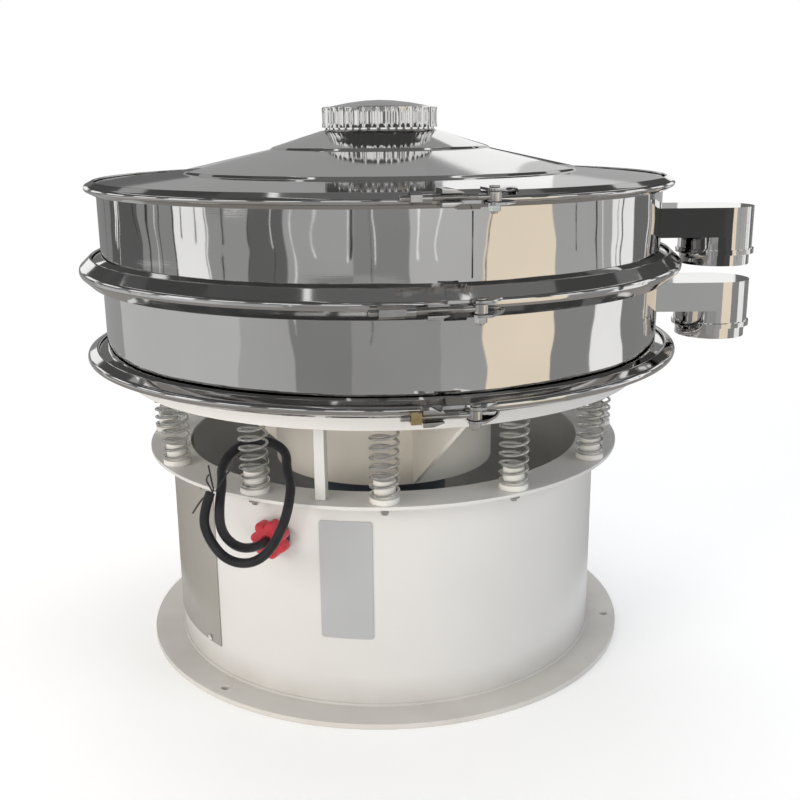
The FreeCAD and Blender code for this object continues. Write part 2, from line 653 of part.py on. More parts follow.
# ---- ring clamps ----------------------------------------
class Clamp:
    """A swing-bolt clamp across the gap of a V-ring, in its own frame: X along the ring to the
    right, -Y outwards, Z up from the bolt's axis. The bolt's eye turns on a pin at +X and its
    nut pulls at -X. rise is the axis over the ring's middle, backoff the nut's gap."""

    def __init__(self, joint, rise, nut_length, sleeve, backoff, square):
        self.joint = joint
        self.rise = rise
        self.nut_length = nut_length
        self.sleeve = sleeve
        self.square = square
        self.out = joint.nose_r + SADDLE_REACH
        self.face_x = PIN_X - PIN_TO_FACE
        self.nut_x = self.face_x - backoff - sleeve
        self.half_gap = EYE_T / 2 + FORK_PLAY
        self.half_fork = self.half_gap + FORK_T

    def place(self, shape):
        copy = shape.copy()
        copy.translate(Vector(0, 0, self.joint.mid + self.rise))
        return turned(copy, self.joint.az)

    def ring_space(self):
        """The solid V that the ring fills, for trimming what is welded on it."""
        outline = v_outline(self.joint, RING_T)
        inner = self.joint.lip_r / 2
        outline = [(inner, outline[0][1])] + outline + [(inner, outline[-1][1])]
        return revolve([(r, h - self.rise) for r, h in outline])

    def bridge(self):
        """A short V-shaped plate over the gap of the ring, between saddle and fork."""
        low = self.face_x + SADDLE_L + BRIDGE_PLAY
        high = PIN_X - EYE_R - EYE_REST - BRIDGE_PLAY
        return v_shell(self.joint, RING_T, BRIDGE_T).common(at_clamp(self.joint, (low, high)))

    def saddle(self):
        """The slotted block that the nut pulls against, tapered away from the nut."""
        half_w = SADDLE_W / 2
        half_end = SADDLE_TAPER_W / 2
        root = -(self.joint.nose_r - SADDLE_ROOT)
        tip = -(self.out + 2 * BOLT_R)
        far = self.face_x + SADDLE_L
        near = self.face_x + SADDLE_END
        front = [(self.face_x, -half_w), (near, -half_w), (far, -half_end), (far, half_end),
                 (near, half_w), (self.face_x, half_w)]
        body = face_of([Vector(x, tip, z) for x, z in front]).extrude(Vector(0, root - tip, 0))
        slot_r = BOLT_R + SLOT_FIT
        low = self.face_x - 1
        high = far + 1
        slot = block((low, high), (tip - 1, -self.out), (-slot_r, slot_r))
        seat = Part.makeCylinder(slot_r, high - low, Vector(low, -self.out, 0), Vector(1, 0, 0))
        return self.place(body.cut([slot, seat, self.ring_space()]))

    def fork(self):
        """A strip bent round like a stirrup: legs over and under the eye, its bend to the right."""
        root = -(self.joint.nose_r - FORK_ROOT)
        nose_r = EYE_R + EYE_REST
        tip = -self.out - nose_r
        end = PIN_X + FORK_L
        bend = end - self.half_fork
        left = PIN_X - nose_r
        outer = block((PIN_X, bend), (tip, root), (-self.half_fork, self.half_fork))
        across = Vector(0, 1, 0)
        round_end = Part.makeCylinder(self.half_fork, root - tip, Vector(bend, tip, 0), across)
        nose = Part.makeCylinder(nose_r, 2 * self.half_fork, Vector(PIN_X, -self.out, -self.half_fork))
        web = block((left, PIN_X), (-self.out, root), (-self.half_fork, self.half_fork))
        corner = face_of([Vector(PIN_X + nose_r, tip - 1, -self.half_fork),
                          Vector(end + 1, tip - 1, -self.half_fork),
                          Vector(end + 1, root, -self.half_fork)])
        slope = corner.extrude(Vector(0, 0, 2 * self.half_fork))
        space = block((left - nose_r, bend), (2 * tip, root + 1), (-self.half_gap, self.half_gap))
        round_space = Part.makeCylinder(self.half_gap, -2 * tip, Vector(bend, 2 * tip, 0), across)
        bore = Part.makeCylinder(PIN_R, 2 * self.half_fork, Vector(PIN_X, -self.out, -self.half_fork))
        whole = outer.multiFuse([round_end, nose, web])
        return self.place(whole.cut([slope, space, round_space, bore, self.ring_space()]))

    def pin(self):
        """The pin through fork and eye, with a head above."""
        low = -self.half_fork - PIN_END
        stem = Part.makeCylinder(PIN_R, self.half_fork - low, Vector(PIN_X, -self.out, low))
        head = Part.makeCylinder(1.5 * PIN_R, HEAD_T, Vector(PIN_X, -self.out, self.half_fork))
        return self.place(stem.fuse(head))

    def pin_nut(self):
        nut = hexagon(NUT_AF, -self.half_fork - PIN_NUT_H, -self.half_fork)
        bore = Part.makeCylinder(PIN_R, PIN_NUT_H, Vector(0, 0, -self.half_fork - PIN_NUT_H))
        nut = nut.cut(bore)
        nut.translate(Vector(PIN_X, -self.out, 0))
        return self.place(nut)

    def swing_bolt(self):
        reach = PIN_X - self.nut_x + self.nut_length + THREAD_OUT
        shank = Part.makeCylinder(BOLT_R, reach, Vector(PIN_X, -self.out, 0), Vector(-1, 0, 0))
        eye = Part.makeCylinder(EYE_R, EYE_T, Vector(PIN_X, -self.out, -EYE_T / 2))
        bore = Part.makeCylinder(PIN_R + PIN_FIT, EYE_T, Vector(PIN_X, -self.out, -EYE_T / 2))
        return self.place(shank.fuse(eye).cut(bore))

    def nut(self):
        """The nut, with the plain sleeve it pushes where the bolt has one."""
        prism = hexagon(NUT_AF, 0, self.nut_length)
        if self.square:
            half = NUT_AF / 2
            prism = block((-half, half), (-half, half), (0, self.nut_length))
        if self.sleeve:
            prism = prism.fuse(Part.makeCylinder(NUT_AF / 2, self.sleeve, Vector(0, 0, -self.sleeve)))
        bore = Part.makeCylinder(BOLT_R + PIN_FIT, self.sleeve + self.nut_length, Vector(0, 0, -self.sleeve))
        prism = prism.cut(bore)
        prism.rotate(ZERO, Vector(0, 1, 0), -90)
        prism.translate(Vector(self.nut_x, -self.out, 0))
        return self.place(prism)


CLAMPS = {"top": Clamp(TOP_JOINT, TOP_RISE, TOP_NUT_L, SLEEVE_L, TOP_BACKOFF, False),
          "middle": Clamp(MID_JOINT, MID_RISE, MID_NUT_L, SLEEVE_L, MID_BACKOFF, False),
          "lower": Clamp(LOW_JOINT, LOW_RISE, LOW_NUT_L, 0.0, LOW_BACKOFF, True)}


# ---- supply cable ----------------------------------------
def rounded_path(points):
    """Straight runs joined by arcs as large as the runs allow."""
    edges = []
    radii = []
    last = points[0]
    for before, corner, after in zip(points, points[1:], points[2:]):
        back = before - corner
        ahead = after - corner
        turn = math.pi - back.getAngle(ahead)
        tangent = 0.45 * min(back.Length, ahead.Length)
        radii.append(tangent / math.tan(turn / 2))
        start = corner + back.normalize() * tangent
        end = corner + ahead.normalize() * tangent
        bisector = (back + ahead).normalize()
        middle = corner + bisector * (radii[-1] / math.cos(turn / 2) - radii[-1])
        edges.append(Part.LineSegment(last, start).toShape())
        edges.append(Part.Arc(start, middle, end).toShape())
        last = end
    edges.append(Part.LineSegment(last, points[-1]).toShape())
    return Part.Wire(edges), radii


def swept(points, radius):
    path, radii = rounded_path(points)
    start = path.Edges[0].firstVertex().Point
    direction = path.Edges[0].tangentAt(path.Edges[0].FirstParameter)
    ring = Part.Wire(Part.makeCircle(radius, start, direction))
    solid = path.makePipeShell([ring], True, False)
    return solid, path.Length, radii


def supply_cable():
    points = [polar(BARREL_R + out, azimuth, GLAND_Z + rise) for out, azimuth, rise in CABLE_ROUTE]
    solid, length, radii = swept(points, CABLE_R)
    print("cable length", round(length), "radii", [round(r) for r in radii])
    print("cable volume / section x length", round(solid.Volume / (math.pi * CABLE_R ** 2 * length), 3))
    return solid


def build():
    save("foot_flange", foot_flange())
    save("barrel_shell", barrel_shell())
    save("base_top_flange", base_top_flange())
    save("access_cover", access_cover())
    save("cover_screws", cover_screws())
    save("gland_body", gland_body())
    save("gland_nut", gland_nut())
    save("supply_cable", supply_cable())
    save("springs", around(coil_spring(), SPRINGS))
    save("spring_seats_lower", around(spring_seat(BASE_H, SEAT_T, BOSS_H, 1), SPRINGS))
    save("seat_nuts", around(seat_nut(), SPRINGS))
    save("spring_seats_upper", around(spring_seat(TABLE_Z, UPPER_SEAT_T, UPPER_BOSS_H, -1), SPRINGS))
    save("limit_posts", around(limit_post(), 3, POST_AZ))
    save("table", table())
    save("motor_drum", motor_drum())
    save("gussets", around(gusset(), GUSSETS, GUSSET_AZ))
    save("motor_housing", motor_housing())
    save("rotor_shaft", rotor_shaft())
    save("upper_weight", eccentric_weight(MOTOR_Z1 + WEIGHT_GAP, 0))
    save("lower_weight", eccentric_weight(MOTOR_Z0 - WEIGHT_GAP - WEIGHT_T, LOWER_WEIGHT_AZ))
    save("lower_frame", frame(LOWER_Z, SCREEN_Z, LOW_JOINT, MID_JOINT).cut(outlet_opening(LOWER_OUTLET_Z)))
    save("discharge_pan", discharge_pan())
    save("lower_outlet", outlet(LOWER_OUTLET_Z))
    save("screen_ring", screen_ring())
    save("screen_mesh", screen_mesh())
    save("upper_frame", frame(UPPER_Z, LID_Z, MID_JOINT, TOP_JOINT).cut(outlet_opening(UPPER_OUTLET_Z)))
    save("upper_outlet", outlet(UPPER_OUTLET_Z))
    save("lower_ring", v_ring(LOW_JOINT))
    save("middle_ring", v_ring(MID_JOINT))
    save("top_ring", v_ring(TOP_JOINT))
    save("lid_rim", lid_rim())
    save("lid", lid())
    save("inlet_neck", inlet_neck())
    save("inlet_cap", inlet_cap())
    save("pin_nuts", [clamp.pin_nut() for clamp in CLAMPS.values()])
    for name, clamp in CLAMPS.items():
        save(name + "_bridge", clamp.bridge())
        save(name + "_saddle", clamp.saddle())
        save(name + "_fork", clamp.fork())
        save(name + "_pin", clamp.pin())
        save(name + "_swing_bolt", clamp.swing_bolt())
        save(name + "_nut", clamp.nut())


build()
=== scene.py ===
"""Looks of a round vibrating sieve: polished frames, painted base, coil springs and a loose cable."""

import json
import math
import random

import bmesh
import bpy
from mathutils import Matrix, Vector


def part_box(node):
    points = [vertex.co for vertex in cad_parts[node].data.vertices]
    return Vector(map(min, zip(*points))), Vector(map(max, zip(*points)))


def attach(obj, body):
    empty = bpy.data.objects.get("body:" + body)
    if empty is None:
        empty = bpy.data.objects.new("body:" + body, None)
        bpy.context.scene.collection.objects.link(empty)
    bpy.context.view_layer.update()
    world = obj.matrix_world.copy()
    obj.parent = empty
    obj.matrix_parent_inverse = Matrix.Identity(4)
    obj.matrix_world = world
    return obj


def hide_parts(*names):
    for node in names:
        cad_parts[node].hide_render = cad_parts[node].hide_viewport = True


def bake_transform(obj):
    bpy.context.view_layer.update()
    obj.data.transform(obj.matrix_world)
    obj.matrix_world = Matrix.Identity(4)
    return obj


MM = 0.001
DRAW = random.Random(7)
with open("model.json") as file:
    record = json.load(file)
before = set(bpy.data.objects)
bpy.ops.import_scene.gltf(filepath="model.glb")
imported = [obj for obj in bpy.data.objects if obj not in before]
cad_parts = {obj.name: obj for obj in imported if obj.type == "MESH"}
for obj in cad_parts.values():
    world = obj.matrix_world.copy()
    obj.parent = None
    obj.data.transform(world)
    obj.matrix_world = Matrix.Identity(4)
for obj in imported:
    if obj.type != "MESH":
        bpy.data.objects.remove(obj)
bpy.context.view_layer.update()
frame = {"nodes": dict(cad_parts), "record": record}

# ---- sizes in metres; heights come from the frame ------------------------------------------------
BARREL_R = 0.318
FRAME_R = 0.400
UPPER_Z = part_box("upper_frame")[0].z
LID_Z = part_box("upper_frame")[1].z
SPRING_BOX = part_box("springs")
SPRING_COUNT = 12
SPRING_PITCH_R = 0.331


def polar(radius, azimuth, z=0.0):
    """A point at an azimuth in degrees from -Y towards +X."""
    a = math.radians(azimuth)
    return Vector((radius * math.sin(a), -radius * math.cos(a), z))


# ---- camera --------------------------------------------------------------------------------------
CAMERA_AT = (0, -1.555, 0.756)
LENS_MM = 47.12
CAMERA_TURN = -0.94
CAMERA_DIP = 14.90
CAMERA_ROLL = -0.53


def make_camera():
    """The camera, turned, dipped and rolled by its angles in degrees."""
    data = bpy.data.cameras.new("camera")
    data.sensor_width = 36.0
    data.lens = LENS_MM
    camera = bpy.data.objects.new("camera", data)
    bpy.context.collection.objects.link(camera)
    turn = Matrix.Rotation(math.radians(CAMERA_TURN), 4, "Z")
    tilt = Matrix.Rotation(math.radians(90 - CAMERA_DIP), 4, "X")
    roll = Matrix.Rotation(math.radians(CAMERA_ROLL), 4, "Z")
    camera.matrix_world = Matrix.Translation(CAMERA_AT) @ turn @ tilt @ roll
    bpy.context.scene.camera = camera


# ---- shader helpers ------------------------------------------------------------------------------
def new_material(name):
    """An empty material with its node tree and its shader."""
    material = bpy.data.materials.new(name)
    material.use_nodes = True
    tree = material.node_tree
    tree.nodes.clear()
    output = tree.nodes.new("ShaderNodeOutputMaterial")
    shader = tree.nodes.new("ShaderNodeBsdfPrincipled")
    tree.links.new(shader.outputs["BSDF"], output.inputs["Surface"])
    return material, tree, shader


def new_group(name, inputs, outputs):
    """A node group with float inputs {name: default} and outputs {name: socket type}."""
    group = bpy.data.node_groups.new(name, "ShaderNodeTree")
    for socket, default in inputs.items():
        kind = "NodeSocketColor" if isinstance(default, tuple) else "NodeSocketFloat"
        made = group.interface.new_socket(socket, in_out="INPUT", socket_type=kind)
        made.default_value = default
    for socket, kind in outputs.items():
        group.interface.new_socket(socket, in_out="OUTPUT", socket_type=kind)
    return group, group.nodes.new("NodeGroupInput"), group.nodes.new("NodeGroupOutput")


def place_group(tree, group, **values):
    """A node of the group; an underscore in a keyword stands for a space in the input's name."""
    node = tree.nodes.new("ShaderNodeGroup")
    node.node_tree = group
    for socket, value in values.items():
        node.inputs[socket.replace("_", " ")].default_value = value
    return node


def feed(tree, socket, source):
    """Give an input a link from another socket, or a plain value."""
    if isinstance(source, bpy.types.NodeSocket):
        tree.links.new(source, socket)
    else:
        socket.default_value = source


def maths(tree, operation, *sources, clamp=False):
    """The result of a maths node on sockets or plain values."""
    node = tree.nodes.new("ShaderNodeMath")
    node.operation = operation
    node.use_clamp = clamp
    for socket, source in zip(node.inputs, sources):
        feed(tree, socket, source)
    return node.outputs["Value"]


def vector_maths(tree, operation, *sources):
    """The result of a vector maths node on sockets or plain values."""
    node = tree.nodes.new("ShaderNodeVectorMath")
    node.operation = operation
    for socket, source in zip(node.inputs, sources):
        feed(tree, socket, source)
    return node.outputs["Value" if operation == "LENGTH" else "Vector"]


def place_in(tree):
    """The place on the machine of the point that is shaded."""
    return tree.nodes.new("ShaderNodeTexCoord").outputs["Object"]


def noise_at(tree, place, scale, detail):
    """Noise of this scale and detail at a place."""
    noise = tree.nodes.new("ShaderNodeTexNoise")
    feed(tree, noise.inputs["Vector"], place)
    feed(tree, noise.inputs["Scale"], scale)
    feed(tree, noise.inputs["Detail"], detail)
    return noise.outputs["Fac"]


def colour_between(tree, share, low, high):
    """A colour between two others, each a socket or a plain colour."""
    mix = tree.nodes.new("ShaderNodeMix")
    mix.data_type = "RGBA"
    feed(tree, mix.inputs["Factor"], share)
    feed(tree, mix.inputs["A"], low)
    feed(tree, mix.inputs["B"], high)
    return mix.outputs["Result"]


def make_patches():
    """Soft cloudy patches between two values, for colour and roughness that drift over a surface."""
    group, start, end = new_group("patches", {"Scale": 10.0, "Low": 0.0, "High": 1.0, "Detail": 3.0},
                                  {"Value": "NodeSocketFloat"})
    noise = noise_at(group, place_in(group), start.outputs["Scale"], start.outputs["Detail"])
    spread = group.nodes.new("ShaderNodeMapRange")
    spread.inputs["From Min"].default_value = 0.3
    spread.inputs["From Max"].default_value = 0.7
    feed(group, spread.inputs["Value"], noise)
    feed(group, spread.inputs["To Min"], start.outputs["Low"])
    feed(group, spread.inputs["To Max"], start.outputs["High"])
    feed(group, end.inputs["Value"], spread.outputs["Result"])
    return group


def round_coordinates(tree):
    """The turn, radius and height of the shaded point about the machine's axis."""
    place = place_in(tree)
    parts = tree.nodes.new("ShaderNodeSeparateXYZ")
    join = tree.nodes.new("ShaderNodeCombineXYZ")
    feed(tree, parts.inputs["Vector"], place)
    feed(tree, join.inputs["X"], maths(tree, "ARCTAN2", parts.outputs["Y"], parts.outputs["X"]))
    flat = vector_maths(tree, "MULTIPLY", place, (1, 1, 0))
    feed(tree, join.inputs["Y"], vector_maths(tree, "LENGTH", flat))
    feed(tree, join.inputs["Z"], parts.outputs["Z"])
    return join.outputs["Vector"]


def make_rolled_marks():
    """Fine lines that run round the machine, and the slow waves of rolled sheet."""
    group, start, end = new_group("rolled_marks", {"Lines": 700.0, "Waves": 3.0, "Line Depth": 0.3},
                                  {"Height": "NodeSocketFloat"})
    around = round_coordinates(group)
    fine = noise_at(group, vector_maths(group, "MULTIPLY", around, (0.01, 1.0, 1.0)),
                    start.outputs["Lines"], 4.0)
    slow = noise_at(group, vector_maths(group, "MULTIPLY", around, (1.0, 1.0, 5.0)),
                    start.outputs["Waves"], 0.5)
    lines = maths(group, "MULTIPLY", fine, start.outputs["Line Depth"])
    feed(group, end.inputs["Height"], maths(group, "ADD", lines, slow))
    return group


def make_pores():
    """Small bumps of sprayed paint, moulded plastic or castings."""
    group, start, end = new_group("pores", {"Scale": 600.0, "Detail": 2.0}, {"Height": "NodeSocketFloat"})
    noise = noise_at(group, place_in(group), start.outputs["Scale"], start.outputs["Detail"])
    feed(group, end.inputs["Height"], noise)
    return group


def make_low_down_darkening():
    """A speckled mask, strongest at the floor, that fades out over Reach metres."""
    group, start, end = new_group("low_down_darkening", {"Reach": 0.05, "Amount": 0.5},
                                  {"Mask": "NodeSocketFloat"})
    place = place_in(group)
    parts = group.nodes.new("ShaderNodeSeparateXYZ")
    feed(group, parts.inputs["Vector"], place)
    lift = maths(group, "DIVIDE", parts.outputs["Z"], start.outputs["Reach"])
    fade = maths(group, "SUBTRACT", 1.0, lift, clamp=True)
    speckle = maths(group, "MULTIPLY", fade, noise_at(group, place, 14.0, 5.0))
    feed(group, end.inputs["Mask"], maths(group, "MULTIPLY", speckle, start.outputs["Amount"], clamp=True))
    return group


PATCHES = make_patches()
ROLLED = make_rolled_marks()
PORES = make_pores()
LOW_DOWN_DARKENING = make_low_down_darkening()
# the brownish tone that the paint is darkened towards near the floor, in speckles
LOW_DOWN_TONE = (0.36, 0.32, 0.27, 1)


def add_bump(tree, shader, height, strength, distance):
    """Raise the shader's surface by a height from 0 to 1 times the distance in metres."""
    bump = tree.nodes.new("ShaderNodeBump")
    bump.inputs["Strength"].default_value = strength
    bump.inputs["Distance"].default_value = distance
    feed(tree, bump.inputs["Height"], height)
    feed(tree, shader.inputs["Normal"], bump.outputs["Normal"])


def drifting_colour(tree, low, high, scale):
    """A colour that drifts between two colours over the surface."""
    clouds = place_group(tree, PATCHES, Scale=scale, Low=0.0, High=1.0)
    return colour_between(tree, clouds.outputs["Value"], (*low, 1), (*high, 1))


def drift_roughness(tree, shader, roughness, scale):
    """Roughness that drifts between two values over the surface."""
    low, high = roughness
    clouds = place_group(tree, PATCHES, Scale=scale, Low=low, High=high)
    feed(tree, shader.inputs["Roughness"], clouds.outputs["Value"])


STEEL_COLOURS = ((0.70, 0.695, 0.685), (0.78, 0.775, 0.77))


def polished_steel(name, roughness, waves, depth):
    """Mirror-polished sheet with faint rolling waves and fine lines round the machine."""
    material, tree, shader = new_material(name)
    shader.inputs["Metallic"].default_value = 1.0
    feed(tree, shader.inputs["Base Color"], drifting_colour(tree, *STEEL_COLOURS, 5.0))
    drift_roughness(tree, shader, roughness, 9.0)
    marks = place_group(tree, ROLLED, Lines=900.0, Waves=waves, Line_Depth=0.003)
    add_bump(tree, shader, marks.outputs["Height"], 1.0, depth)
    return material


def plain_metal(name, low, high, roughness, pore=900.0, bump=0.05):
    """Machined, plated or cast metal with fine pores."""
    material, tree, shader = new_material(name)
    shader.inputs["Metallic"].default_value = 1.0
    feed(tree, shader.inputs["Base Color"], drifting_colour(tree, low, high, 60.0))
    drift_roughness(tree, shader, roughness, 80.0)
    pores = place_group(tree, PORES, Scale=pore)
    add_bump(tree, shader, pores.outputs["Height"], bump, 0.0005)
    return material


def sprayed_paint(name, low, high, roughness, coat=0.2, darkening=0.7):
    """Sprayed enamel with faint orange peel, slow drifts of colour, and a speckled brownish darkening near
    the floor.
    """
    material, tree, shader = new_material(name)
    shader.inputs["Coat Weight"].default_value = coat
    shader.inputs["Coat Roughness"].default_value = 0.2
    clean = drifting_colour(tree, low, high, 4.0)
    # darker and browner towards the floor, in speckles, fading out over Reach metres
    mask = place_group(tree, LOW_DOWN_DARKENING, Reach=0.05, Amount=darkening).outputs["Mask"]
    feed(tree, shader.inputs["Base Color"], colour_between(tree, mask, clean, LOW_DOWN_TONE))
    drift_roughness(tree, shader, roughness, 25.0)
    pores = place_group(tree, PORES, Scale=260.0)
    add_bump(tree, shader, pores.outputs["Height"], 0.08, 0.0006)
    return material


def moulded(name, low, high, roughness, scale=700.0, bump=0.12):
    """Moulded plastic or rubber with a fine grain."""
    material, tree, shader = new_material(name)
    feed(tree, shader.inputs["Base Color"], drifting_colour(tree, low, high, 40.0))
    drift_roughness(tree, shader, roughness, 60.0)
    pores = place_group(tree, PORES, Scale=scale)
    add_bump(tree, shader, pores.outputs["Height"], bump, 0.0004)
    return material


STEEL = polished_steel("polished_steel", (0.025, 0.055), 3.0, 0.0040)
LID_STEEL = polished_steel("lid_steel", (0.045, 0.085), 1.8, 0.0014)
RING_STEEL = polished_steel("ring_steel", (0.05, 0.09), 2.0, 0.0010)
HARDWARE = plain_metal("hardware", (0.60, 0.59, 0.57), (0.72, 0.71, 0.69), (0.07, 0.16), 900.0, 0.03)
ZINC = plain_metal("bright_zinc", (0.74, 0.74, 0.73), (0.90, 0.90, 0.89), (0.14, 0.24), 900.0, 0.03)
BRASS = plain_metal("turned_brass", (0.62, 0.46, 0.22), (0.76, 0.62, 0.36), (0.18, 0.3))
WELD = plain_metal("weld_bead", (0.30, 0.29, 0.27), (0.46, 0.44, 0.40), (0.25, 0.45), 500.0, 0.3)
CAST = plain_metal("cast_weight", (0.10, 0.10, 0.10), (0.16, 0.16, 0.16), (0.5, 0.7), 400.0, 0.4)
# The drum and gussets under the table take a brighter, warmer copy of the off-white base paint: painted
# light that lifts them out of the shade under the table.
DRUM_PAINT_LIFTED = sprayed_paint("drum_paint_lifted", (0.86, 0.82, 0.74), (0.90, 0.87, 0.80), (0.34, 0.46))
OFF_WHITE = sprayed_paint("off_white_paint", (0.67, 0.66, 0.645), (0.73, 0.72, 0.705), (0.34, 0.46))
# The foot flange, of the same paint as the barrel, takes its own copy of it with tone, roughness and coat
# set to how light falls on the flange: painted light and shade.
FOOT_PAINT_TONED = sprayed_paint("foot_paint_toned", (0.71, 0.69, 0.66), (0.79, 0.77, 0.74), (0.42, 0.55), 0.1, 0.5)
COVER_GREY = sprayed_paint("grey_paint", (0.31, 0.295, 0.27), (0.36, 0.345, 0.32), (0.35, 0.5))
PLATE_GREY = sprayed_paint("bare_plate", (0.42, 0.43, 0.44), (0.48, 0.49, 0.50), (0.3, 0.42), 0.1, 0.0)
MOTOR_PAINT = sprayed_paint("motor_paint", (0.09, 0.12, 0.15), (0.12, 0.15, 0.18), (0.35, 0.5))
RED = moulded("red_plastic", (0.54, 0.03, 0.05), (0.66, 0.055, 0.075), (0.26, 0.38))
DARK = moulded("dark_plastic", (0.02, 0.02, 0.021), (0.035, 0.035, 0.036), (0.4, 0.5))
NYLON = moulded("seat_nylon", (0.70, 0.69, 0.65), (0.78, 0.77, 0.74), (0.4, 0.55))
RUBBER = moulded("cable_rubber", (0.012, 0.012, 0.015), (0.024, 0.024, 0.028), (0.34, 0.5), 500.0, 0.2)
CORE = moulded("core_sheath", (0.02, 0.02, 0.022), (0.05, 0.05, 0.055), (0.35, 0.5), 600.0, 0.1)
MESH_WIRE = plain_metal("mesh_wire", (0.42, 0.42, 0.41), (0.5, 0.5, 0.49), (0.3, 0.4))

SLOT_MATERIALS = {"off_white_paint": OFF_WHITE, "grey_paint": COVER_GREY, "polished_steel": STEEL,
                  "plain_steel": HARDWARE, "mesh": MESH_WIRE, "zinc": ZINC, "brass": BRASS,
                  "red_plastic": RED, "dark_plastic": DARK, "seat_nylon": NYLON, "cable_rubber": RUBBER,
                  "motor_paint": MOTOR_PAINT, "cast": CAST}
# the drum and gussets take the brightened copy of the base paint, which is painted light
NODE_MATERIALS = {"motor_drum": DRUM_PAINT_LIFTED, "gussets": DRUM_PAINT_LIFTED, "foot_flange": FOOT_PAINT_TONED}
NODE_MATERIALS.update({node: LID_STEEL for node in ("lid", "lid_rim", "inlet_neck", "inlet_cap")})
for level in ("lower", "middle", "top"):
    NODE_MATERIALS.update({level + end: RING_STEEL for end in ("_ring", "_bridge", "_fork")})
BODY_OF = {node: body for body, nodes in frame["record"]["behaviour"]["bodies"].items() for node in nodes}
SLOT_OF = {part["node"]: part["material_slot"] for part in frame["record"]["subparts"]}


def finish_of(node):
    """A node's own material, or else its slot's."""
    return NODE_MATERIALS.get(node, SLOT_MATERIALS[SLOT_OF[node]])


def dress_nodes():
    """Give every CAD node the material of its slot."""
    for node in SLOT_OF:
        materials = frame["nodes"][node].data.materials
        materials.clear()
        materials.append(finish_of(node))


def stand_for(piece, *nodes):
    """A piece that takes the place and body of CAD nodes."""
    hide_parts(*nodes)
    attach(piece, BODY_OF[nodes[0]])
    return piece


# ---- mesh helpers --------------------------------------------------------------------------------
def link_mesh(name, mesh, material):
    """A piece of this mesh in the scene."""
    piece = bpy.data.objects.new(name, mesh)
    bpy.context.collection.objects.link(piece)
    mesh.materials.append(material)
    return piece


def finish_mesh(bm, name, material):
    """A smooth piece made from the mesh in hand, with its faces turned outwards."""
    bmesh.ops.recalc_face_normals(bm, faces=bm.faces)
    mesh = bpy.data.meshes.new(name)
    bm.to_mesh(mesh)
    bm.free()
    for face in mesh.polygons:
        face.use_smooth = True
    return link_mesh(name, mesh, material)


def join_rings(bm, rings, whole=False):
    """Faces from ring to ring; the first and last are joined when whole, and capped if not."""
    pairs = list(zip(rings, rings[1:]))
    if whole:
        pairs.append((rings[-1], rings[0]))
    for low, high in pairs:
        for j in range(len(low)):
            k = (j + 1) % len(low)
            bm.faces.new((low[j], low[k], high[k], high[j]))
    if not whole:
        bm.faces.new(rings[0])
        bm.faces.new(rings[-1])


def tube_along(points, radius, sides=12):
    """A closed round tube through points; its ends are capped."""
    bm = bmesh.new()
    rings = []
    upright = abs((points[-1] - points[0]).normalized().z) > 0.99
    up = Vector((0, 1, 0)) if upright and len(points) < 20 else Vector((0, 0, 1))
    for i, point in enumerate(points):
        ahead = points[min(i + 1, len(points) - 1)] - points[max(i - 1, 0)]
        side = ahead.cross(up).normalized()
        top = side.cross(ahead).normalized()
        ring = []
        for j in range(sides):
            a = 2 * math.pi * j / sides
            ring.append(bm.verts.new(point + radius * (math.cos(a) * side + math.sin(a) * top)))
        rings.append(ring)
    join_rings(bm, rings)
    return bm


def rounded(points, radii, steps=6, closed=True):
    """An outline whose corners are turned into arcs; radii gives each corner's arc or 0."""
    made = []
    count = len(points)
    for i, ((x, y), radius) in enumerate(zip(points, radii)):
        if radius == 0 or (not closed and i in (0, count - 1)):
            made.append((x, y))
            continue
        corner = Vector((x, y))
        back = Vector(points[i - 1]) - corner
        ahead = Vector(points[(i + 1) % count]) - corner
        half = back.angle(ahead) / 2
        run = min(radius / math.tan(half), 0.49 * back.length, 0.49 * ahead.length)
        radius = run * math.tan(half)
        start = corner + back.normalized() * run
        end = corner + ahead.normalized() * run
        inward = (back.normalized() + ahead.normalized()).normalized()
        centre = corner + inward * (radius / math.sin(half))
        a = (start - centre).normalized()
        b = (end - centre).normalized()
        for j in range(steps + 1):
            spot = (a * (1 - j / steps) + b * (j / steps)).normalized()
            made.append(tuple(centre + spot * radius))
    return made


def ribbon(line, thickness, steps=5):
    """The closed outline of a sheet of even thickness about an open line, with round ends."""
    half = thickness / 2
    points = [Vector(p) for p in line]
    sides = ([], [])
    for i, point in enumerate(points):
        along = (points[min(i + 1, len(points) - 1)] - points[max(i - 1, 0)]).normalized()
        across = Vector((-along.y, along.x)) * half
        sides[0].append(point + across)
        sides[1].append(point - across)
    outline = list(sides[0])
    for end, back in ((-1, -2), (0, 1)):
        centre = points[end]
        out = (centre - points[back]).normalized() * half
        side = (sides[0] if end == -1 else sides[1])[end] - centre
        for j in range(1, steps):
            a = math.pi * j / steps
            outline.append(centre + side * math.cos(a) + out * math.sin(a))
        if end == -1:
            outline += sides[1][::-1]
    return [tuple(p) for p in outline]


def turned_piece(name, outline, material, sides=240, start=0.0, sweep=360.0, ripple=None):
    """A closed outline of (radius, height) turned about the axis; ripple adds to the radius."""
    bm = bmesh.new()
    whole = sweep >= 360.0
    rings = []
    for i in range(sides if whole else sides + 1):
        azimuth = start + sweep * i / sides
        ring = []
        for j, (r, z) in enumerate(outline):
            extra = ripple(azimuth, j) if ripple else 0.0
            ring.append(bm.verts.new(polar(r + extra, azimuth, z)))
        rings.append(ring)
    join_rings(bm, rings, whole)
    piece = finish_mesh(bm, name, material)
    even_shading(piece)
    return piece


